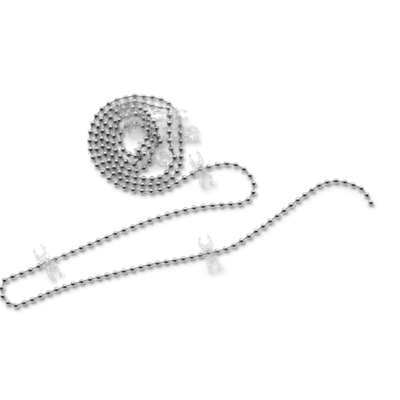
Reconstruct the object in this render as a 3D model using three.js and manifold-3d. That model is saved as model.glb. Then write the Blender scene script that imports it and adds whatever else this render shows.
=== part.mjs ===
import * as THREE from 'three';
import Module from 'manifold-3d';

// Bottom chain of a vertical blind: a run of hollow metal balls joined by dumbbell
// pins, with a clear snap clip every five-inch vane. It lies loose on a flat top:
// a wound coil at the back left, a long S across the front and a free tail.
// Millimetres, +Z up. The origin is on the table, under the middle of the object.

const wasm = await Module();
wasm.setup();

// Driving sizes
const ballDiameter = 2.4;
const linkPitch = 3.65;
const closestPitch = 3.0;
const pinDiameter = 0.62;
const playGap = 0.3;
const pinEndRoom = 0.04;
const layGap = 0.18;
const linksPerVane = 32;
const tailLinks = 22;
const innerLinks = 18;
const ballsPerRun = 5;

const clipThickness = 4.4;
const hookOuter = 5.4;
const hookInner = 3.3;
const hookSpan = 9.6;
const waistWidth = 3.9;
const mouthHalfAngle = 44;
const lipLength = 0.5;
const pocketRoof = 0.7;
const mouthPinch = 0.05;
const slotSideRoom = 0.25;
const slotBelowPin = 0.65;
const cutPast = 1;

const ballRadius = ballDiameter / 2;
const pinRadius = pinDiameter / 2;
const clipLength = hookSpan + hookOuter;

// Hand-laid way points of the loose run, from the free tail to the coil
const tailWay = [
  [67.9, -1.6], [65, 3.6], [60.5, 6], [54.5, 7.4], [48.5, 6], [42.5, 2.1],
  [34, -4.4], [25.7, -10.8], [16.7, -17.1], [10.5, -20.4], [3.5, -22.4],
];
const frontWay = [
  [3.5, -22.4], [-7, -24.6], [-17.5, -26.4], [-28, -29], [-38.8, -31.7], [-49, -34.4],
  [-59, -38], [-66.5, -41.2], [-73, -43.1], [-77.4, -38.8], [-76.8, -33.4],
  [-72.5, -31.2], [-65.9, -28.8], [-60.9, -26.3],
];
const middleWay = [
  [-60.9, -26.3], [-50.6, -21.8], [-40.6, -17.3], [-30.5, -13], [-20.5, -9], [-9.8, -5.4],
  [1, -3], [11.4, -2.2], [18.4, -1.9], [22, 3.6], [20, 10], [14.4, 14.4], [6.8, 14.2],
  [0.1, 11.8],
];

// The coil is wound clockwise about its centre. Headings run clockwise from the
// front right in eighths of a turn. Every turn of the back and left lies one step
// inside the last; the right side was squeezed, so its radii are set turn by turn.
const coilCentre = [-26, 24];
const coilStart = -45;
const outerRadius = { front: 20.3, frontLeft: 18.2, left: 18.2, backLeft: 18.8, back: 18.7 };
const turnStep = { front: 2.5, frontLeft: 2.3, left: 2.35, backLeft: 2.3, back: 2.15 };
const rightRadius = {
  backRight: [20.8, 15.9, 10.4, 8.6, 9, 7],
  right: [18.3, 13.3, 9.3, 5, 7.6, 10.4],
  frontRight: [24, 21.5, 18.5, 9.9, 5, 8],
};
const coilEntry = [[0.1, 11.8], [-3.4, 10]];

// Headings, in degrees turned from the coil's start, at which the clips sit
const clipTurned = [306, 639, 1075, 1645];
const coilEntryTurned = 12;
const coilEndTurned = 2120;

// How each clip lies: roll about the chain in degrees, then which way its open
// side points (1 up, -1 down), then a tilt of its long axis
const clipLie = [
  { roll: 0, open: 1, swing: 6 },
  { roll: 0, open: 1, swing: 10 },
  { roll: 0, open: -1, swing: 0 },
  { roll: 0, open: 1, swing: 0 },
  { roll: 1, open: 1, swing: -5 },
  { roll: 0, open: -1, swing: 0 },
  { roll: 6, open: 1, swing: 0 },
];

// How the chain settles. Slack is how far a ball may stray from its slot's line.
const settleRounds = 640;
const looseShare = 0.7;
const planPull = 0.05;
const sinkStep = 0.03;
const coilClimb = 0.035;
const bendLimit = 1.86;
const overClipEase = 1.5;
const slotSlack = { long: 0.45, up: 0.95 };

function flat(x, y) {
  return new THREE.Vector3(x, y, ballRadius);
}

function spacedAlong(way, links) {
  const curve = new THREE.CatmullRomCurve3(way, false, 'centripetal');
  curve.arcLengthDivisions = 1200;
  return curve.getSpacedPoints(links);
}

// Radius of the coil once it has turned by the given angle
function coilRadius(turned) {
  const knots = [];
  const first = Math.floor(turned / 45) - 1;
  for (let k = first; k < first + 4; k += 1) {
    knots.push(radiusAt(Math.max(k, 0)));
  }
  const f = turned / 45 - Math.floor(turned / 45);
  const slopeIn = (knots[2] - knots[0]) / 2;
  const slopeOut = (knots[3] - knots[1]) / 2;
  const f2 = f * f;
  const f3 = f2 * f;
  return (2 * f3 - 3 * f2 + 1) * knots[1] + (f3 - 2 * f2 + f) * slopeIn
    + (3 * f2 - 2 * f3) * knots[2] + (f3 - f2) * slopeOut;
}

function radiusAt(step) {
  const turn = Math.floor(step / 8);
  const heading = step % 8;
  const last = (list) => list[Math.min(turn, list.length - 1)];
  if (heading === 0) return last(rightRadius.frontRight);
  if (heading === 6) return last(rightRadius.backRight);
  if (heading === 7) return last(rightRadius.right);
  const side = ['front', 'frontLeft', 'left', 'backLeft', 'back'][heading - 1];
  return outerRadius[side] - turnStep[side] * turn;
}

function coilPoint(turned) {
  const angle = THREE.MathUtils.degToRad(coilStart - turned);
  const r = coilRadius(turned);
  return flat(coilCentre[0] + r * Math.cos(angle), coilCentre[1] + r * Math.sin(angle));
}

function coilWay(from, to) {
  const way = [];
  const steps = Math.ceil((to - from) / 15);
  for (let k = 0; k <= steps; k += 1) {
    way.push(coilPoint(from + (to - from) * k / steps));
  }
  return way;
}

// Plan positions of all the balls, laid vane by vane so every clip keeps its place
function laidBalls() {
  const asWay = (list) => list.map(([x, y]) => flat(x, y));
  const parts = [
    [asWay(tailWay), tailLinks],
    [asWay(frontWay), linksPerVane],
    [asWay(middleWay), linksPerVane],
    [[...asWay(coilEntry), ...coilWay(coilEntryTurned, clipTurned[0])], linksPerVane],
  ];
  for (let k = 1; k < clipTurned.length; k += 1) {
    parts.push([coilWay(clipTurned[k - 1], clipTurned[k]), linksPerVane]);
  }
  parts.push([coilWay(clipTurned[clipTurned.length - 1], coilEndTurned), innerLinks]);
  const balls = [];
  for (const [way, links] of parts) {
    const laid = spacedAlong(way, links);
    balls.push(...(balls.length ? laid.slice(1) : laid));
  }
  return balls;
}

// Which balls carry a clip
function clipBalls() {
  return clipLie.map((lie, k) => tailLinks + linksPerVane * k);
}

// Directions along the chain at each ball
function chainHeading(balls, i) {
  const before = balls[Math.max(i - 1, 0)];
  const after = balls[Math.min(i + 1, balls.length - 1)];
  return after.clone().sub(before).normalize();
}

// Frame of a clip: x along its length, y along the chain, z the axis of its hooks
function clipFrame(balls, index, lie) {
  const along = chainHeading(balls, index);
  along.z = 0;
  along.normalize();
  const up = new THREE.Vector3(0, 0, lie.open);
  up.applyAxisAngle(along, THREE.MathUtils.degToRad(lie.roll));
  const long = new THREE.Vector3().crossVectors(along, up).normalize();
  long.applyAxisAngle(up, THREE.MathUtils.degToRad(lie.swing));
  const across = new THREE.Vector3().crossVectors(up, long).normalize();
  return { long, across, up };
}

// Height of a clip's ball when the clip's lowest corner is on the table
function clipBallHeight(frame) {
  return clipThickness / 2 * Math.abs(frame.up.z)
    + clipLength / 2 * Math.abs(frame.long.z)
    + hookOuter / 2 * Math.abs(frame.across.z);
}

function pushApart(a, b, least, shareA, shareB) {
  const d = b.clone().sub(a);
  const length = d.length();
  if (length >= least || length < 1e-6) return;
  d.multiplyScalar((least - length) / length);
  a.addScaledVector(d, -shareA);
  b.addScaledVector(d, shareB);
}

function holdLength(a, b, least, most) {
  const d = b.clone().sub(a);
  const length = d.length();
  const wanted = Math.min(Math.max(length, least), most);
  d.multiplyScalar((length - wanted) / length / 2);
  a.add(d);
  b.sub(d);
}

// Keeps a loose point out of a clip's block
function pushFromClip(point, ball, frame, least) {
  const d = point.clone().sub(ball);
  const half = [clipLength / 2, hookOuter / 2, clipThickness / 2];
  const axes = [frame.long, frame.across, frame.up];
  const local = axes.map((axis) => d.dot(axis));
  const over = local.map((v, k) => Math.abs(v) - half[k]);
  const outside = over.map((v) => Math.max(v, 0));
  const away = Math.hypot(...outside);
  if (away >= least) return;
  const push = new THREE.Vector3();
  if (away > 1e-6) {
    axes.forEach((axis, k) => {
      push.addScaledVector(axis, Math.sign(local[k]) * outside[k] / away * (least - away));
    });
  } else {
    const nearest = over[2] > over[1] - overClipEase ? 2 : 1;
    push.addScaledVector(axes[nearest], Math.sign(local[nearest]) * (least - over[nearest]));
  }
  point.addScaledVector(push, 0.5);
  ball.addScaledVector(push, -0.25);
}

// Keeps the balls on either side of a clip in line with its slot
function keepInSlot(neighbour, ball, frame) {
  const d = neighbour.clone().sub(ball);
  const limits = [[frame.long, slotSlack.long], [frame.up, slotSlack.up]];
  for (const [axis, most] of limits) {
    const off = d.dot(axis);
    const over = Math.abs(off) - most;
    if (over > 0) neighbour.addScaledVector(axis, -Math.sign(off) * over);
  }
}

// Lets the laid chain settle: every strand ends up beside or on top of the others
function settledBalls() {
  const balls = laidBalls();
  const plan = balls.map((p) => p.clone());
  const clips = clipBalls();
  const count = balls.length;
  balls.forEach((p, i) => {
    p.z += Math.max(i - clips[2], 0) * coilClimb;
  });
  const ballLimit = ballDiameter + layGap;
  const pinLimit = ballRadius + pinRadius + layGap;
  for (let round = 0; round < settleRounds; round += 1) {
    const loose = Math.max(1 - round / (settleRounds * looseShare), 0);
    for (let i = 0; i < count; i += 1) {
      balls[i].x += (plan[i].x - balls[i].x) * planPull * loose;
      balls[i].y += (plan[i].y - balls[i].y) * planPull * loose;
      balls[i].z -= sinkStep * loose;
    }
    for (let i = 0; i + 1 < count; i += 1) {
      holdLength(balls[i], balls[i + 1], closestPitch, linkPitch);
    }
    for (let i = 0; i + 2 < count; i += 1) {
      pushApart(balls[i], balls[i + 2], closestPitch * bendLimit, 0.5, 0.5);
    }
    for (let i = 0; i < count; i += 1) {
      for (let j = i + 3; j < count; j += 1) {
        if (Math.abs(balls[i].x - balls[j].x) > linkPitch * 2) continue;
        if (Math.abs(balls[i].y - balls[j].y) > linkPitch * 2) continue;
        pushApart(balls[i], balls[j], ballLimit, 0.5, 0.5);
        pushFromPin(balls, j, i, pinLimit);
        if (j + 1 === count) continue;
        pushFromPin(balls, i, j, pinLimit);
        pushPins(balls, i, j, pinDiameter + layGap);
      }
    }
    clips.forEach((index, k) => {
      const frame = clipFrame(balls, index, clipLie[k]);
      for (let i = 0; i < count; i += 1) {
        if (Math.abs(i - index) < 3) continue;
        if (balls[i].distanceTo(balls[index]) > clipLength) continue;
        pushFromClip(balls[i], balls[index], frame, ballRadius + layGap);
        if (i + 1 === count || i + 3 === index) continue;
        const middle = balls[i].clone().add(balls[i + 1]).multiplyScalar(0.5);
        const start = middle.clone();
        pushFromClip(middle, balls[index], frame, pinRadius + layGap);
        balls[i].add(middle).sub(start);
        balls[i + 1].add(middle).sub(start);
      }
      const slot = clipFrame(balls, index, { ...clipLie[k], swing: 0 });
      keepInSlot(balls[index - 1], balls[index], slot);
      keepInSlot(balls[index + 1], balls[index], slot);
      balls[index].z = Math.max(balls[index].z, clipBallHeight(frame));
    });
    for (let i = 0; i < count; i += 1) {
      balls[i].z = Math.max(balls[i].z, ballRadius);
    }
  }
  return balls;
}

// Keeps a ball off the pin that follows another ball
function pushFromPin(balls, i, j, least) {
  const a = balls[j];
  const b = balls[j + 1];
  const middle = a.clone().add(b).multiplyScalar(0.5);
  const d = middle.clone().sub(balls[i]);
  const length = d.length();
  if (length >= least || length < 1e-6) return;
  d.multiplyScalar((least - length) / length / 2);
  balls[i].sub(d);
  a.add(d);
  b.add(d);
}

// Keeps two crossing pins apart
function pushPins(balls, i, j, least) {
  const first = balls[i].clone().add(balls[i + 1]).multiplyScalar(0.5);
  const second = balls[j].clone().add(balls[j + 1]).multiplyScalar(0.5);
  const d = second.sub(first);
  const length = d.length();
  if (length >= least || length < 1e-6) return;
  d.multiplyScalar((least - length) / length / 2);
  balls[i].sub(d);
  balls[i + 1].sub(d);
  balls[j].add(d);
  balls[j + 1].add(d);
}

// A closed surface from rings of points. Neighbouring rings may differ in number.
class Skin {
  constructor() {
    this.points = [];
    this.faces = [];
  }

  ring(centre, axis, radius, sides, turn) {
    const side = new THREE.Vector3(0, 0, 1).cross(axis).normalize();
    const up = new THREE.Vector3().crossVectors(axis, side).normalize();
    const first = this.points.length;
    for (let k = 0; k < sides; k += 1) {
      const angle = (k + turn) / sides * Math.PI * 2;
      const p = centre.clone();
      p.addScaledVector(side, radius * Math.cos(angle));
      p.addScaledVector(up, radius * Math.sin(angle));
      this.points.push(p);
    }
    return { first, sides, turn };
  }

  join(a, b) {
    let i = 0;
    let j = 0;
    while (i < a.sides || j < b.sides) {
      const nextA = (i + 1 + a.turn) / a.sides;
      const nextB = (j + 1 + b.turn) / b.sides;
      const pa = a.first + i % a.sides;
      const pb = b.first + j % b.sides;
      const stepA = j >= b.sides || (i < a.sides && nextA <= nextB);
      if (stepA) {
        this.faces.push([pa, a.first + (i + 1) % a.sides, pb]);
        i += 1;
      } else {
        this.faces.push([pa, b.first + (j + 1) % b.sides, pb]);
        j += 1;
      }
    }
  }

  cap(ring, facingBack) {
    for (let k = 1; k + 1 < ring.sides; k += 1) {
      const face = [ring.first, ring.first + k, ring.first + k + 1];
      this.faces.push(facingBack ? face.reverse() : face);
    }
  }

  geometry() {
    const shape = new THREE.BufferGeometry();
    const flatPoints = this.points.flatMap((p) => [p.x, p.y, p.z]);
    shape.setAttribute('position', new THREE.Float32BufferAttribute(flatPoints, 3));
    shape.setIndex(this.faces.flat());
    shape.computeVertexNormals();
    return shape;
  }
}

const ballSides = 6;
const pinSides = 4;
const pinCorner = pinRadius * 1.25;
const shoulder = 0.42 * ballRadius;
const poleReach = Math.sqrt(ballRadius ** 2 - pinCorner ** 2);
const socketRadius = pinCorner + playGap * 1.25;
const socketMouth = Math.sqrt(ballRadius ** 2 - socketRadius ** 2);
const socketDepth = 0.1 * ballRadius;
const pinEnd = socketDepth + playGap + pinEndRoom;

// One run of balls and pins from ball "from" to ball "to". A run that another one
// leads into starts with an open ball, and a run that leads on ends in a bare pin.
function chainRun(balls, from, to, openStart, leadsOn) {
  const skin = new Skin();
  let last = null;
  for (let i = from; i <= to; i += 1) {
    const axis = chainHeading(balls, i);
    const into = i > 0 ? balls[i].clone().sub(balls[i - 1]).normalize() : axis;
    const onward = i + 1 < balls.length ? balls[i + 1].clone().sub(balls[i]).normalize() : axis;
    const at = (direction, distance) => balls[i].clone().addScaledVector(direction, distance);
    if (i === from && openStart) {
      const floor = skin.ring(at(into, -socketDepth), into, socketRadius, ballSides, 0);
      const mouth = skin.ring(at(into, -socketMouth), into, socketRadius, ballSides, 0);
      skin.cap(floor, true);
      skin.join(floor, mouth);
      last = mouth;
    } else if (i === from) {
      last = skin.ring(at(into, -poleReach), into, pinCorner, pinSides, 0);
      skin.cap(last, true);
    } else {
      const foot = skin.ring(at(into, -poleReach), into, pinCorner, pinSides, 0);
      skin.join(last, foot);
      last = foot;
    }
    const rear = skin.ring(at(axis, -shoulder), axis, ballRadius, ballSides, 0);
    const front = skin.ring(at(axis, shoulder), axis, ballRadius, ballSides, 0.5);
    const neck = skin.ring(at(onward, poleReach), onward, pinCorner, pinSides, 0);
    skin.join(last, rear);
    skin.join(rear, front);
    skin.join(front, neck);
    last = neck;
  }
  if (leadsOn) {
    const onward = balls[to + 1].clone().sub(balls[to]).normalize();
    const tip = balls[to + 1].clone().addScaledVector(onward, -pinEnd);
    const end = skin.ring(tip, onward, pinCorner, pinSides, 0);
    skin.join(last, end);
    last = end;
  }
  skin.cap(last, false);
  return skin.geometry();
}

// Outline of the clip: two open hooks back to back on a short waist
function clipOutline() {
  const shape = new THREE.Shape();
  const points = [];
  const arc = (centre, radius, start, end, steps) => {
    for (let k = 0; k <= steps; k += 1) {
      const a = THREE.MathUtils.degToRad(start + (end - start) * k / steps);
      points.push([centre + radius * Math.cos(a), radius * Math.sin(a)]);
    }
  };
  const lip = (centre, side, up) => {
    const a = THREE.MathUtils.degToRad(mouthHalfAngle - 6) * up;
    const outer = hookOuter / 2 + lipLength;
    const inner = hookInner / 2 + lipLength * 1.2;
    const spots = [outer, inner].map((r, k) => {
      const b = a - up * k * 0.22;
      return [centre + side * r * Math.cos(b), r * Math.sin(b)];
    });
    points.push(...(side * up > 0 ? spots.reverse() : spots));
  };
  const c = hookSpan / 2;
  const m = mouthHalfAngle;
  const shoulderAngle = 140;
  arc(c, hookOuter / 2, -shoulderAngle, -m, 2);
  lip(c, 1, -1);
  arc(c, hookInner / 2, -m - 4, m + 4 - 360, 6);
  lip(c, 1, 1);
  arc(c, hookOuter / 2, m, shoulderAngle, 2);
  points.push([c * 0.42, waistWidth / 2], [-c * 0.42, waistWidth / 2]);
  arc(-c, hookOuter / 2, 180 - shoulderAngle, 180 - m, 2);
  lip(-c, -1, 1);
  arc(-c, hookInner / 2, 180 - m - 4, -180 + m + 4, 6);
  lip(-c, -1, -1);
  arc(-c, hookOuter / 2, 180 + m, 180 + shoulderAngle, 2);
  points.push([-c * 0.42, -waistWidth / 2], [c * 0.42, -waistWidth / 2]);
  points.forEach(([x, y], k) => (k ? shape.lineTo(x, y) : shape.moveTo(x, y)));
  shape.closePath();
  return shape;
}

function toSolid(shape) {
  const position = shape.attributes.position;
  const mesh = new wasm.Mesh({
    numProp: 3,
    vertProperties: Float32Array.from(position.array),
    triVerts: shape.index
      ? Uint32Array.from(shape.index.array)
      : Uint32Array.from({ length: position.count }, (value, k) => k),
  });
  mesh.merge();
  return new wasm.Manifold(mesh);
}

function toShape(solid) {
  const mesh = solid.getMesh();
  const shape = new THREE.BufferGeometry();
  const step = mesh.numProp;
  const position = new Float32Array(mesh.vertProperties.length / step * 3);
  for (let k = 0; k * step < mesh.vertProperties.length; k += 1) {
    for (let axis = 0; axis < 3; axis += 1) {
      position[k * 3 + axis] = mesh.vertProperties[k * step + axis];
    }
  }
  shape.setAttribute('position', new THREE.BufferAttribute(position, 3));
  shape.setIndex(new THREE.BufferAttribute(Uint32Array.from(mesh.triVerts), 1));
  shape.computeVertexNormals();
  return shape;
}

function plug(radius, from, to) {
  const shape = new THREE.CylinderGeometry(radius, radius, to - from, 8);
  shape.rotateX(Math.PI / 2);
  shape.translate(0, 0, (from + to) / 2);
  return toSolid(shape);
}

// The clip about its ball: a pocket with a snap mouth and a slot for the pins
function clipShape() {
  const half = clipThickness / 2;
  const body = new THREE.ExtrudeGeometry(clipOutline(), {
    depth: clipThickness,
    bevelEnabled: false,
    curveSegments: 1,
  });
  body.translate(0, 0, -half);
  const pocketRadius = ballRadius + playGap;
  const slotWidth = 2 * (pinCorner + playGap + slotSideRoom);
  const slotFloor = -pinCorner - playGap - slotBelowPin;
  const cutTop = half + cutPast;
  const slot = new THREE.BoxGeometry(slotWidth, waistWidth + 2 * cutPast, cutTop - slotFloor);
  slot.translate(0, 0, (cutTop + slotFloor) / 2);
  return toSolid(body)
    .subtract(plug(pocketRadius, -pocketRadius, half - pocketRoof))
    .subtract(plug(ballRadius - mouthPinch, 0, cutTop))
    .subtract(toSolid(slot));
}

function named(shape, name, colour, roughness, metalness) {
  const material = new THREE.MeshStandardMaterial({ color: colour, roughness, metalness });
  const mesh = new THREE.Mesh(shape, material);
  mesh.name = name;
  return mesh;
}

// Runs end between clips, so a clip's ball is never the open one
function runEnds(count) {
  const ends = [];
  for (let from = 0; from < count; from += ballsPerRun) {
    ends.push([from, Math.min(from + ballsPerRun, count) - 1]);
  }
  return ends;
}

function blindChain() {
  const group = new THREE.Group();
  group.name = 'vertical_blind_bottom_chain';
  const balls = settledBalls();
  const ends = runEnds(balls.length);
  ends.forEach(([from, to], k) => {
    const leadsOn = k + 1 < ends.length;
    const name = `chain_run_${String(k + 1).padStart(2, '0')}`;
    group.add(named(chainRun(balls, from, to, k > 0, leadsOn), name, 0xc4c6c8, 0.2, 1));
  });
  const solid = clipShape();
  clipBalls().forEach((index, k) => {
    const frame = clipFrame(balls, index, clipLie[k]);
    const shape = toShape(solid);
    const place = new THREE.Matrix4().makeBasis(frame.long, frame.across, frame.up);
    place.setPosition(balls[index]);
    shape.applyMatrix4(place);
    group.add(named(shape, `vane_clip_${k + 1}`, 0xe4e9ec, 0.15, 0));
  });
  standOnOrigin(group);
  return group;
}

// Moves every piece so the origin lies on the table under the object's middle
function standOnOrigin(group) {
  const box = new THREE.Box3();
  group.children.forEach((mesh) => box.expandByObject(mesh, true));
  const middle = box.getCenter(new THREE.Vector3());
  group.children.forEach((mesh) => mesh.geometry.translate(-middle.x, -middle.y, -box.min.z));
}

export default blindChain();
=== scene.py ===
import math

import bpy
import numpy as np
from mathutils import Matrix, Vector


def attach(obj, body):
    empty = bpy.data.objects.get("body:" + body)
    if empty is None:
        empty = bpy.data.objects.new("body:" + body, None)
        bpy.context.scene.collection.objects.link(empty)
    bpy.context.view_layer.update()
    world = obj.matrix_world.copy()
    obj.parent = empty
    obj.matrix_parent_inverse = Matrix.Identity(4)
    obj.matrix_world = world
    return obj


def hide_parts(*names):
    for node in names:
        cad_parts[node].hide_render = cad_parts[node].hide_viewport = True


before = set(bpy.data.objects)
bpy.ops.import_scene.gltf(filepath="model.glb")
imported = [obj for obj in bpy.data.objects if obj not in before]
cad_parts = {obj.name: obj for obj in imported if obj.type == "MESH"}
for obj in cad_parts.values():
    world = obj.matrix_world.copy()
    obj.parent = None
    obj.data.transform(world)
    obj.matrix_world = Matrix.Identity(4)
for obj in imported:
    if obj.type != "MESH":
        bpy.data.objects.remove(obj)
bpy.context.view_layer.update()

mm = 0.001
print("frame loaded:", len(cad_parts), "nodes")


class Socket:
    # an output of a node, with + - * that add Math nodes
    def __init__(self, paint, link):
        self.paint, self.link = paint, link

    def combine(self, operation, first, second):
        return self.paint.add("ShaderNodeMath", {"operation": operation}, first, second)

    def __add__(self, other):
        return self.combine("ADD", self, other)

    def __sub__(self, other):
        return self.combine("SUBTRACT", self, other)

    def __rsub__(self, other):
        return self.combine("SUBTRACT", other, self)

    def __mul__(self, other):
        return self.combine("MULTIPLY", self, other)

    __radd__ = __add__
    __rmul__ = __mul__


class Paint:
    # the node tree of a material or of the world
    def __init__(self, owner):
        self.owner = owner
        owner.use_nodes = True
        self.nodes, self.links = owner.node_tree.nodes, owner.node_tree.links

    def put(self, socket, value):
        if isinstance(value, Socket):
            self.links.new(value.link, socket)
        else:
            socket.default_value = value

    # type of node, its settings, values of its sockets in order or by name, which output is wanted
    def add(self, kind, settings, *values, out=0, **named):
        node = self.nodes.new(kind)
        for key, value in settings.items():
            setattr(node, key, value)
        for index, value in enumerate(values):
            self.put(node.inputs[index], value)
        for key, value in named.items():
            self.put(node.inputs[key], value)
        return Socket(self, node.outputs[out])

    # a colour between two, at a share. A Mix node's colours are inputs 6 and 7 and output 2
    def blend(self, share, low, high):
        mixed = self.add("ShaderNodeMix", {"data_type": "RGBA"}, share, out=2)
        self.put(mixed.link.node.inputs[6], low)
        self.put(mixed.link.node.inputs[7], high)
        return mixed

    # sets sockets of the surface shader by name
    def surface(self, **sockets):
        for key, value in sockets.items():
            self.put(self.nodes["Principled BSDF"].inputs[key.replace("_", " ")], value)

    # noise on the piece's own coordinates, of a grain size in metres
    def noise(self, grain, detail):
        place = self.add("ShaderNodeTexCoord", {}, out="Object")
        return self.add("ShaderNodeTexNoise", {}, Vector=place, Scale=1 / grain, Detail=detail)

    # 0 below one value, 1 above another, and soft between
    def ease(self, value, low, high):
        smooth = {"interpolation_type": "SMOOTHSTEP"}
        return self.add("ShaderNodeMapRange", smooth, value, low, high)


def newPaint(name):
    return Paint(bpy.data.materials.new(name))


# Solids of the frame whose names start so, in order
def solids(start):
    return [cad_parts[name] for name in sorted(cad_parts) if name.startswith(start)]


# Vectors brought to a length of 1
def unit(v):
    return v / np.linalg.norm(v, axis=-1, keepdims=True)


# Links a finished mesh into the scene as a piece that stands for a solid of the frame
def addPiece(name, mesh, material, solid):
    piece = bpy.data.objects.new(name, mesh)
    bpy.context.scene.collection.objects.link(piece)
    mesh.materials.append(material)
    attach(piece, "root")
    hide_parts(solid.name)
    return piece


# Points of a solid, each once, and the edges between them
def pointsAndEdges(solid):
    mesh = solid.data
    merge = 0.002 * mm
    points = np.zeros(len(mesh.vertices) * 3)
    mesh.vertices.foreach_get("co", points)
    edges = np.zeros(len(mesh.edges) * 2, int)
    mesh.edges.foreach_get("vertices", edges)
    cells = np.round(points.reshape(-1, 3) / merge).astype(int)
    cells, index = np.unique(cells, axis=0, return_inverse=True)
    edges = np.unique(np.sort(index.ravel()[edges].reshape(-1, 2), axis=1), axis=0)
    return cells * merge, edges[edges[:, 0] != edges[:, 1]]


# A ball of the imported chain: two rings of six points, with sides as long as the ball's radius
packedBall = {
    "corners": 6,
    "side": 1.2 * mm,
    "ringGap": 1.008 * mm,
    "near": 0.012 * mm,  # how far a length may be off
    "nearVote": 0.048 * mm,  # a vote adds up three points, so it may be off by more
    "nearGap": 0.024 * mm,
}


# Middles of a run's balls. Two sides of a hexagon that meet at b, coming from a and c, put its
# middle at a + c - b, so six votes that agree are a ring, and two rings one gap apart are a ball
def ballMiddles(solid):
    points, edges = pointsAndEdges(solid)
    side, near = packedBall["side"], packedBall["near"]
    length = np.linalg.norm(points[edges[:, 0]] - points[edges[:, 1]], axis=1)
    sides = edges[np.abs(length - side) < near]
    ways = np.concatenate([sides, sides[:, ::-1]])
    i, j = np.nonzero(np.triu(ways[:, :1] == ways[:, 0], 1))
    a, b, c = points[ways[i, 1]], points[ways[i, 0]], points[ways[j, 1]]
    hexagonal = np.abs(np.linalg.norm(a - c, axis=1) - math.sqrt(3) * side) < near
    votes = (a + c - b)[hexagonal]
    agree = np.linalg.norm(votes[:, None] - votes, axis=2) < packedBall["nearVote"]
    enough = agree.sum(1) >= packedBall["corners"]
    firsts = enough & (agree.argmax(1) == np.arange(len(votes)))
    rings = (agree[firsts] @ votes) / agree[firsts].sum(1)[:, None]
    apart = np.linalg.norm(rings[:, None] - rings, axis=2)
    pairs = np.abs(apart - packedBall["ringGap"]) < packedBall["nearGap"]
    i, j = np.nonzero(np.triu(pairs, 1))
    return (rings[i] + rings[j]) / 2


# Puts a run's balls in order, nearest to nearest, from a given place
def inOrder(middles, place):
    left, path = list(middles), []
    while left:
        nearest = int(np.argmin([np.linalg.norm(p - place) for p in left]))
        place = left.pop(nearest)
        path.append(place)
    return np.array(path)


# All balls from the free tail inwards. A ball heads from the ball before it to the ball after it
runSolids = solids("chain_run_")
runs = [ballMiddles(solid) for solid in runSolids]
away = np.linalg.norm(runs[0] - runs[1].mean(0), axis=1)
tailEnd = runs[0][away.argmax()]
for k, middles in enumerate(runs):
    runs[k] = inOrder(middles, tailEnd if k == 0 else runs[k - 1][-1])
balls = np.concatenate(runs)
before = np.concatenate([balls[:1], balls[:-1]])
after = np.concatenate([balls[1:], balls[-1:]])
headings = unit(after - before)
print("balls found:", len(balls), "in", len(runs), "runs")


sharpAngle = 55  # degrees: edges of balls and pins that bend more than this stay crisp


# Mesh of many closed skins of revolution about their own axes.
# A point is middle + along * axis + out * (cos(turn) * side + sin(turn) * up), with along and out
# one value for each ring; the first and the last ring have no width and close the skin
def turnedSkins(name, middles, axes, along, out, around, spins):
    count, rings = along.shape
    bands = rings - 3
    side = unit(np.cross(axes, [0.0, 0.0, 1.0]))
    up = np.cross(side, axes)
    turn = np.arange(around) / around * 2 * np.pi + spins[:, None]
    spin = np.cos(turn)[..., None] * side[:, None] + np.sin(turn)[..., None] * up[:, None]
    core = middles[:, None] + along[..., None] * axes[:, None]
    body = core[:, 1:-1, None] + out[:, 1:-1, None, None] * spin[:, None]
    points = np.concatenate([body.reshape(count, -1, 3), core[:, :1], core[:, -1:]], 1)

    ring, place = np.meshgrid(np.arange(bands), np.arange(around), indexing="ij")
    here, there = ring * around + place, ring * around + (place + 1) % around
    quads = np.stack([here, there, there + around, here + around], -1).reshape(-1, 4)
    rim, nextRim = np.arange(around), (np.arange(around) + 1) % around
    last, poles = bands * around, (bands + 1) * around
    caps = np.concatenate([
        np.stack([nextRim, rim, np.full(around, poles)], -1),
        np.stack([last + rim, last + nextRim, np.full(around, poles + 1)], -1),
    ])
    shift = (np.arange(count) * points.shape[1])[:, None, None]
    mesh = bpy.data.meshes.new(name)
    faces = (quads + shift).reshape(-1, 4).tolist() + (caps + shift).reshape(-1, 3).tolist()
    mesh.from_pydata(points.reshape(-1, 3).tolist(), [], faces)

    # the skin's own map: across is the turn, down is the way from mouth to mouth
    left, top = place / around, ring / bands
    right, bottom = left + 1 / around, top + 1 / bands
    quadUv = np.stack([left, top, right, top, right, bottom, left, bottom], -1).reshape(-1, 4, 2)
    capUv = np.zeros((2 * around, 3, 2))
    capUv[around:, :, 1] = 1
    tiled = [np.tile(quadUv, (count, 1, 1)).ravel(), np.tile(capUv, (count, 1, 1)).ravel()]
    mesh.uv_layers.new(name="skin").data.foreach_set("uv", np.concatenate(tiled))
    mesh.shade_smooth()
    mesh.set_sharp_from_angle(angle=math.radians(sharpAngle))
    return mesh


# The corners stand a little out, so that the faceted ball is 2.4 mm across on average
ball = {
    "radius": 1.25 * mm,
    "around": 12,
    "bands": 5,
    "mouth": 0.46 * mm,
    "dish": 0.16 * mm,
    "spinSeed": 7,
}


# A pressed ball: out = R sin(lean), along = -R cos(lean) from mouth to mouth, and at each mouth
# a shallow dish goes back in to the middle, where the pin comes out
def ballMesh(name, middles, axes, spins):
    radius = ball["radius"]
    edge = math.asin(ball["mouth"] / radius)
    lean = np.linspace(edge, math.pi - edge, ball["bands"] + 1)
    floor = radius * math.cos(edge) - ball["dish"]
    along = np.concatenate([[-floor], -radius * np.cos(lean), [floor]])
    out = np.concatenate([[0], radius * np.sin(lean), [0]])
    rows = np.ones((len(middles), 1))
    return turnedSkins(name, middles, axes, along * rows, out * rows, ball["around"], spins)


pin = {
    "radius": 0.31 * mm,
    "flare": 0.4 * mm,
    "around": 6,
    "hidden": 0.74,  # the pin ends at this share of the ball's radius from its middle
    "shares": [0, 0, 0.16, 0.84, 1, 1],  # where its rings are, from end to end
}


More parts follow.
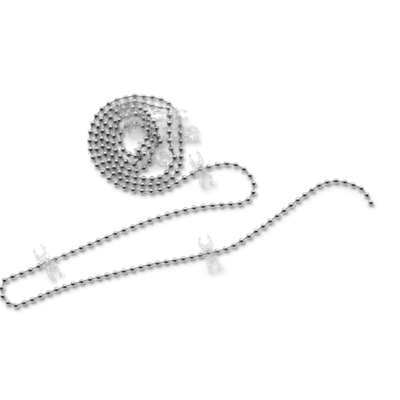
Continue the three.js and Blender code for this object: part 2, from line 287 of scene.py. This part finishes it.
# A link pin: a drawn wire from ball to ball that thickens a little where it goes in
def pinMesh(name, starts, ends):
    reach = np.linalg.norm(ends - starts, axis=1) - 2 * pin["hidden"] * ball["radius"]
    along = (np.array(pin["shares"]) - 0.5) * reach[:, None]
    widths = np.array([0, pin["flare"], pin["radius"], pin["radius"], pin["flare"], 0])
    out = widths * np.ones((len(starts), 1))
    middles, axes, unturned = (starts + ends) / 2, unit(ends - starts), np.zeros(len(starts))
    return turnedSkins(name, middles, axes, along, out, pin["around"], unturned)


nickel = {
    "ballTint": (0.65, 0.655, 0.66, 1),
    "ballHaze": 0.05,
    # the pins' darker tint is painted shade between the balls
    "pinShadedTint": (0.38, 0.38, 0.39, 1),
    "pinHaze": 0.2,
    # darker tint at the seam and round each mouth: at the seam it is the ball's own dark joint,
    # round the mouth it is painted shade where the pin goes in
    "seamAndMouthShadeTint": (0.4, 0.4, 0.41, 1),
    "seamAndMouthHaze": 0.15,
    "cloudGrain": 4 * mm,
    "cloudDetail": 3.0,
    "cloudHaze": 0.08,
    "scratchGrain": 0.35 * mm,
    "scratchDetail": 4.0,
    "scratchDepth": 0.03 * mm,
    "scratchStrength": 0.05,
    "seamWidth": 0.012,  # share of a turn on either side of the seam
    "seamDepth": 0.6,
    "seamWear": 0.5,
    "mouthRing": (0.62, 1.0),  # where its painted shade begins and is full: the way to the mouth, squared
    "mouthShade": 0.7,
}


# Bright nickel plate: nearly a mirror, hazier in soft clouds, with fine scratches, a hairline seam
# along the ball, and round each mouth a rougher ring whose darker tint is painted shade
def nickelPaint(name, tint, haze):
    paint = newPaint(name)
    skin = paint.add("ShaderNodeUVMap", {"uv_map": "skin"})
    across = paint.add("ShaderNodeSeparateXYZ", {}, skin, out="X")
    down = paint.add("ShaderNodeSeparateXYZ", {}, skin, out="Y")
    cloud = paint.noise(nickel["cloudGrain"], nickel["cloudDetail"])
    scratch = paint.noise(nickel["scratchGrain"], nickel["scratchDetail"])
    mouth = paint.ease((down - 0.5) * (down - 0.5) * 4, *nickel["mouthRing"])
    seamGap = (across - 0.5) * (across - 0.5)
    seam = paint.add("ShaderNodeMath", {"operation": "LESS_THAN"},
                     seamGap, nickel["seamWidth"] ** 2)
    # mask of the seam's dark line and of the painted shade in a ring round each mouth
    seamAndMouthShadeMask = paint.add("ShaderNodeMath", {"operation": "MAXIMUM"},
                     mouth * nickel["mouthShade"], seam * nickel["seamWear"])
    bump = paint.add("ShaderNodeBump", {}, Height=scratch - seam * nickel["seamDepth"],
                     Strength=nickel["scratchStrength"], Distance=nickel["scratchDepth"])
    roughness = cloud * nickel["cloudHaze"] + seamAndMouthShadeMask * nickel["seamAndMouthHaze"] + haze
    paint.surface(Base_Color=paint.blend(seamAndMouthShadeMask, tint, nickel["seamAndMouthShadeTint"]), Metallic=1.0,
                  Roughness=roughness, Normal=bump)
    return paint.owner


ballNickel = nickelPaint("ball_nickel", nickel["ballTint"], nickel["ballHaze"])
# the pins are tinted darker than the balls: painted shade between the balls
pinNickel = nickelPaint("pin_nickel", nickel["pinShadedTint"], nickel["pinHaze"])

# Each ball is turned at random about its heading, so that the seams lie anywhere
spins = np.random.default_rng(ball["spinSeed"]).uniform(0, 2 * np.pi, len(balls))
first = 0
for run, solid in zip(runs, runSolids):
    last = first + len(run)
    end = min(last, len(balls) - 1)
    number = solid.name[-2:]
    beads = ballMesh("balls_" + number, balls[first:last], headings[first:last], spins[first:last])
    pins = pinMesh("pins_" + number, balls[first:end], balls[first + 1:end + 1])
    addPiece("balls_" + number, beads, ballNickel, solid)
    addPiece("pins_" + number, pins, pinNickel, solid)
    first = last
print("chain dressed")


# Angles are in degrees, from the clip's long axis
clip = {
    "thickness": 4.4 * mm,
    "hookOuter": 5.4 * mm,
    "hookInner": 3.3 * mm,
    "hookSpan": 9.6 * mm,
    "waist": 3.9 * mm,
    "waistEnd": 0.42,  # share of the way from the ball to a hook's middle
    "mouthAngle": 44,
    "mouthInside": 48,
    "shoulderAngle": 140,
    "lip": 0.5 * mm,
    "lipAngles": (38, 25),  # of its outer and its inner corner
    "lipInside": 1.2,  # how far the inner corner stands off the hook's inside, in lips
    "pocket": 1.5 * mm,
    "slotHalf": 0.94 * mm,
    "slotFloor": -1.34 * mm,
    "arcStep": 10,
    "edgeRound": 0.3 * mm,
    "edgeSteps": 2,
    "edgeAngle": 35,
}


# Points at radius and angle in degrees about a middle on the long axis
def polar(middle, radius, angle):
    angle = np.radians(angle)
    return np.stack([middle + radius * np.cos(angle), radius * np.sin(angle)], 1)


# Such points at even steps from one angle to another
def arc(middle, radius, start, end):
    steps = max(2, round(abs(end - start) / clip["arcStep"]))
    return polar(middle, radius, np.linspace(start, end, steps + 1))


# Half of the clip's outline: from the lower waist out round the hook, in at one lip, round the
# inside of the hook, out at the other lip and back to the upper waist
def hookOutline():
    middle, waist = clip["hookSpan"] / 2, clip["waist"] / 2
    outer, inner, lip = clip["hookOuter"] / 2, clip["hookInner"] / 2, clip["lip"]
    mouth, inside, shoulder = clip["mouthAngle"], clip["mouthInside"], clip["shoulderAngle"]
    lipRadii = np.array([outer + lip, inner + clip["lipInside"] * lip])
    lips = polar(middle, lipRadii, np.array(clip["lipAngles"]))
    waistEnd = middle * clip["waistEnd"]
    return np.concatenate([
        [[waistEnd, -waist]],
        arc(middle, outer, -shoulder, -mouth),
        lips * [1, -1],
        arc(middle, inner, -inside, inside - 360),
        lips[::-1],
        arc(middle, outer, mouth, shoulder),
        [[waistEnd, waist]],
    ])


# Quads between a path of points on one level and the same path on the next level up
def wall(path, size):
    low, step = np.array(path[:-1]), np.array(path[1:])
    return np.stack([low, step, step + size, low + size], -1).tolist()


# The clip about its ball. One loop of points on three levels: back, slot floor and front.
# Each half is the hook outline, and then the pocket's arc between the slot's two straight ends
def clipMesh(name):
    half, waist = clip["thickness"] / 2, clip["waist"] / 2
    slot, pocket = clip["slotHalf"], clip["pocket"]
    reach = math.degrees(math.acos(slot / pocket))
    hook = hookOutline()
    seat = np.concatenate([[[slot, waist]], arc(0, pocket, reach, -reach), [[slot, -waist]]])
    halfLoop = np.concatenate([hook, seat])
    loop = np.concatenate([halfLoop, -halfLoop])
    levels = [np.full(len(loop), level) for level in (-half, clip["slotFloor"], half)]
    points = np.concatenate([np.column_stack([loop, level]) for level in levels])

    size, side, rim = len(loop), len(halfLoop), len(hook)
    faces, back, slotFloor = [], [], []
    for start in (0, side):
        outside = [start + side - 1] + list(range(start, start + rim + 1))
        across = [start + rim, (start + side) % size + side - 1]
        inside = list(range(start + rim, start + side))
        faces += wall(outside, size) + wall(np.array(outside) + size, size)
        faces += wall(across, size) + wall(np.array(inside) + size, size)
        faces.append(list(range(2 * size + start, 2 * size + start + side)))
        back += outside
        slotFloor += inside
    faces.append(back[::-1])
    faces.append([size + k for k in slotFloor[::-1]])

    # only the points that a face uses are kept
    used, place = np.unique(np.concatenate(faces), return_inverse=True)
    ends = np.cumsum([len(face) for face in faces])[:-1]
    faces = [face.tolist() for face in np.split(place.ravel(), ends)]
    mesh = bpy.data.meshes.new(name)
    mesh.from_pydata(points[used].tolist(), [], faces)
    return mesh


# Where a clip lies, read from its solid: the back is its largest flat face, its long way is the
# way in which its points spread the most, and its middle is the middle of its box along those
def clipPlace(solid):
    mesh = solid.data
    sameWay = 0.9999  # cosine between faces that lie in one plane
    normals, areas = np.zeros(len(mesh.polygons) * 3), np.zeros(len(mesh.polygons))
    mesh.polygons.foreach_get("normal", normals)
    mesh.polygons.foreach_get("area", areas)
    normals = normals.reshape(-1, 3)
    flat = (normals @ normals.T > sameWay) @ areas
    up = -normals[flat.argmax()]
    points, _ = pointsAndEdges(solid)
    spread = np.linalg.svd(points - points.mean(0), full_matrices=False)[2][0]
    long = unit(spread - up * (spread @ up))
    axes = np.array([long, np.cross(up, long), up])
    reach = points @ axes.T
    return axes, (reach.max(0) + reach.min(0)) / 2 @ axes


clear = {
    "tint": (0.86, 0.865, 0.87, 1),
    "cloudy": (0.84, 0.845, 0.85, 1),
    "cloudGrain": 5 * mm,
    "cloudDetail": 3.0,
    "cloudHaze": 0.08,
    "haze": 0.03,
    "rippleGrain": 2.2 * mm,
    "rippleDetail": 2.0,
    "rippleDepth": 0.06 * mm,
    "rippleStrength": 0.35,
    "clearness": 0.95,
    "body": 0.68,
    "bending": 1.49,  # of light
}


# Clear moulding: see-through, with faint clouds, and a surface that ripples as moulded parts do
def clearPaint():
    paint = newPaint("clip_clear")
    cloud = paint.noise(clear["cloudGrain"], clear["cloudDetail"])
    ripple = paint.noise(clear["rippleGrain"], clear["rippleDetail"])
    bump = paint.add("ShaderNodeBump", {}, Height=ripple,
                     Strength=clear["rippleStrength"], Distance=clear["rippleDepth"])
    paint.surface(Base_Color=paint.blend(cloud, clear["tint"], clear["cloudy"]),
                  Roughness=cloud * clear["cloudHaze"] + clear["haze"], Normal=bump,
                  Transmission_Weight=clear["clearness"], Alpha=clear["body"], IOR=clear["bending"])
    return paint.owner


clipClear = clearPaint()
for solid in solids("vane_clip_"):
    name = "clip_" + solid.name[-1]
    mesh = clipMesh(name)
    axes, middle = clipPlace(solid)
    points = np.zeros(len(mesh.vertices) * 3)
    mesh.vertices.foreach_get("co", points)
    mesh.vertices.foreach_set("co", (points.reshape(-1, 3) @ axes + middle).ravel())
    mesh.shade_smooth()
    piece = addPiece(name, mesh, clipClear, solid)
    edges = piece.modifiers.new("edges", "BEVEL")
    edges.width, edges.segments = clip["edgeRound"], clip["edgeSteps"]
    edges.limit_method, edges.angle_limit = "ANGLE", math.radians(clip["edgeAngle"])
    edges.harden_normals = True
print("clips dressed")


# Ways point from the object, y to the back and z up. The dark side's share below 1 widens it
room = {
    "level": 0.91,
    "window": 0.47,
    "windowWay": (0.0, 0.6, 0.8),
    "windowEdge": (60, 25),
    "dark": 0.97,
    "darkWay": (0.1, -0.7, 0.71),
    "darkEdge": (64, 46),
    "darkWide": 0.45,
    "tableGrey": 0.88,
    "tableRough": 0.9,
    "tableShine": 0.1,
    "tableGlow": 0.15,
    "tableHalf": 1.5,
}


# 1 for a ray of one of these kinds, 0 for any other
def rayKind(paint, *kinds):
    kinds = [paint.add("ShaderNodeLightPath", {}, out=f"Is {kind} Ray") for kind in kinds]
    return paint.add("ShaderNodeMath", {"operation": "MINIMUM"}, sum(kinds, 0.0), 1.0)


# A soft patch of the room about a way, with an edge from gone to full, in degrees from that way.
# A sideways share below 1 makes it wider than it is tall. In the world, Generated is the way
# that a ray goes
def patch(paint, way, edge, sideways=1.0):
    squeeze = np.array([sideways, 1, 1])
    place = paint.add("ShaderNodeTexCoord", {}, out="Generated")
    place = paint.add("ShaderNodeVectorMath", {"operation": "MULTIPLY"}, place, squeeze)
    place = paint.add("ShaderNodeVectorMath", {"operation": "NORMALIZE"}, place)
    middle = unit(np.array(way) * squeeze)
    facing = paint.add("ShaderNodeVectorMath", {"operation": "DOT_PRODUCT"},
                       place, middle, out="Value")
    return paint.ease(facing, *np.cos(np.radians(edge)))


# The room: pale walls, a brighter window behind and above, and the dark side that the camera is
# on. The camera, and what it sees through the clips, has plain white behind the table
def lightRoom():
    world = bpy.data.worlds.new("studio")
    bpy.context.scene.world = world
    paint = Paint(world)
    window = patch(paint, room["windowWay"], room["windowEdge"])
    dark = patch(paint, room["darkWay"], room["darkEdge"], room["darkWide"])
    level = (window * room["window"] + room["level"]) * (1 - dark * room["dark"])
    plain = rayKind(paint, "Camera", "Transmission")
    paint.put(paint.nodes["Background"].inputs["Color"], (1, 1, 1, 1))
    paint.put(paint.nodes["Background"].inputs["Strength"], level * (1 - plain) + plain)


# A white table that keeps the shadows; its glow is seen by the camera, in the metal and through
# the clips, and lights nothing
def addTable():
    half = room["tableHalf"]
    corners = [(-half, -half, 0), (half, -half, 0), (half, half, 0), (-half, half, 0)]
    mesh = bpy.data.meshes.new("table")
    mesh.from_pydata(corners, [], [(0, 1, 2, 3)])
    table = bpy.data.objects.new("table", mesh)
    bpy.context.scene.collection.objects.link(table)
    paint = newPaint("table_white")
    grey = room["tableGrey"]
    seen = rayKind(paint, "Camera", "Glossy", "Transmission")
    paint.surface(Base_Color=(grey, grey, grey, 1), Roughness=room["tableRough"],
                  Specular_IOR_Level=room["tableShine"], Emission_Strength=room["tableGlow"],
                  Emission_Color=paint.blend(seen, (0, 0, 0, 1), (1, 1, 1, 1)))
    mesh.materials.append(paint.owner)


key = {
    "place": (-0.56, 0.6, 1.24),
    "size": 1.2,
    "energy": 14.8,
}


# A large soft lamp at the back left. The metal shows the room instead of it
def addKey():
    lamp = bpy.data.lights.new("key", "AREA")
    lamp.shape, lamp.size, lamp.energy = "DISK", key["size"], key["energy"]
    light = bpy.data.objects.new("key", lamp)
    bpy.context.scene.collection.objects.link(light)
    light.visible_glossy = False
    light.location = key["place"]
    light.rotation_mode = "QUATERNION"
    light.rotation_quaternion = (-Vector(key["place"])).to_track_quat("-Z", "Y")


view = {
    "target": (4.9 * mm, -0.25 * mm, 0.0),
    "elevation": 75,
    "distance": 0.6,
    "lens": 135.5,
    "sensor": 36,
    "nearest": 0.01,  # the camera sees from here
    "farthest": 10,  # to here
}


# A camera in front of the object, lifted so many degrees above the table
def addCamera():
    data = bpy.data.cameras.new("camera")
    data.lens, data.sensor_width = view["lens"], view["sensor"]
    data.clip_start, data.clip_end = view["nearest"], view["farthest"]
    camera = bpy.data.objects.new("camera", data)
    bpy.context.scene.collection.objects.link(camera)
    lift = math.radians(view["elevation"])
    back = Vector((0, -math.cos(lift), math.sin(lift)))
    camera.location = Vector(view["target"]) + back * view["distance"]
    camera.rotation_mode = "QUATERNION"
    camera.rotation_quaternion = (-back).to_track_quat("-Z", "Y")
    bpy.context.scene.camera = camera


addTable()
lightRoom()
addKey()
addCamera()
bpy.context.scene.view_settings.view_transform = "Standard"
print("stage set")

print("done")
